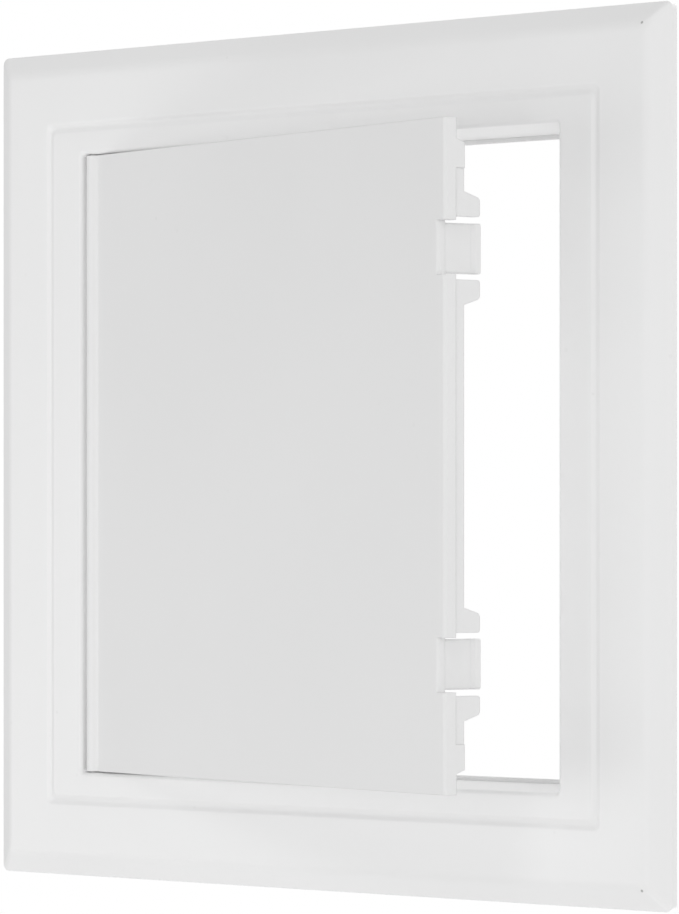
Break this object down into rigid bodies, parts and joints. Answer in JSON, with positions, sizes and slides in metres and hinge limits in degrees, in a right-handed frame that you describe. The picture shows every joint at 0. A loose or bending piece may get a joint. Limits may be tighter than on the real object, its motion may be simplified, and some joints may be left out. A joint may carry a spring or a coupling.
{
  "type": "access panel",
  "caption": "Square white plastic access panel: a bevelled flange frame with a collar for a cut-out, and a hinged door that snaps shut on spring tongues.",
  "frame": {"origin": "Middle of the flange on the plane where its rear rim touches the wall or ceiling.", "axes": "+X to the right as one faces the panel, away from the hinge; +Y back into the wall or ceiling; +Z along the hinge, up in a wall."},
  "size_m": [0.2, 0.055, 0.2],
  "materials": {
    "frame_plastic": "satin white moulded plastic",
    "door_plastic": "satin white moulded plastic",
    "pin_plastic": "smooth white plastic"
  },
  "bodies": {
    "frame": {"frame": "frame_plastic"},
    "door": {"door": "door_plastic", "upper_hinge_pin": "pin_plastic", "lower_hinge_pin": "pin_plastic"},
    "upper_tongue": {"upper_latch_tongue": "door_plastic"},
    "lower_tongue": {"lower_latch_tongue": "door_plastic"}
  },
  "joints": [
    {"name": "door_hinge", "type": "hinge", "parent": "frame", "child": "door", "pos_m": [-0.0689, -0.0029, 0], "axis": [0, 0, -1], "range_deg": [-14.75, 100.25]},
    {"name": "upper_tongue_bend", "type": "hinge", "parent": "door", "child": "upper_tongue", "pos_m": [0.06332, -0.03507, 0.04545], "axis": [0, 0, 1], "range_deg": [0, 7], "stiffness_Nm_per_rad": 0.8},
    {"name": "lower_tongue_bend", "type": "hinge", "parent": "door", "child": "lower_tongue", "pos_m": [0.06332, -0.03507, -0.04545], "axis": [0, 0, 1], "range_deg": [0, 7], "stiffness_Nm_per_rad": 0.8}
  ]
}
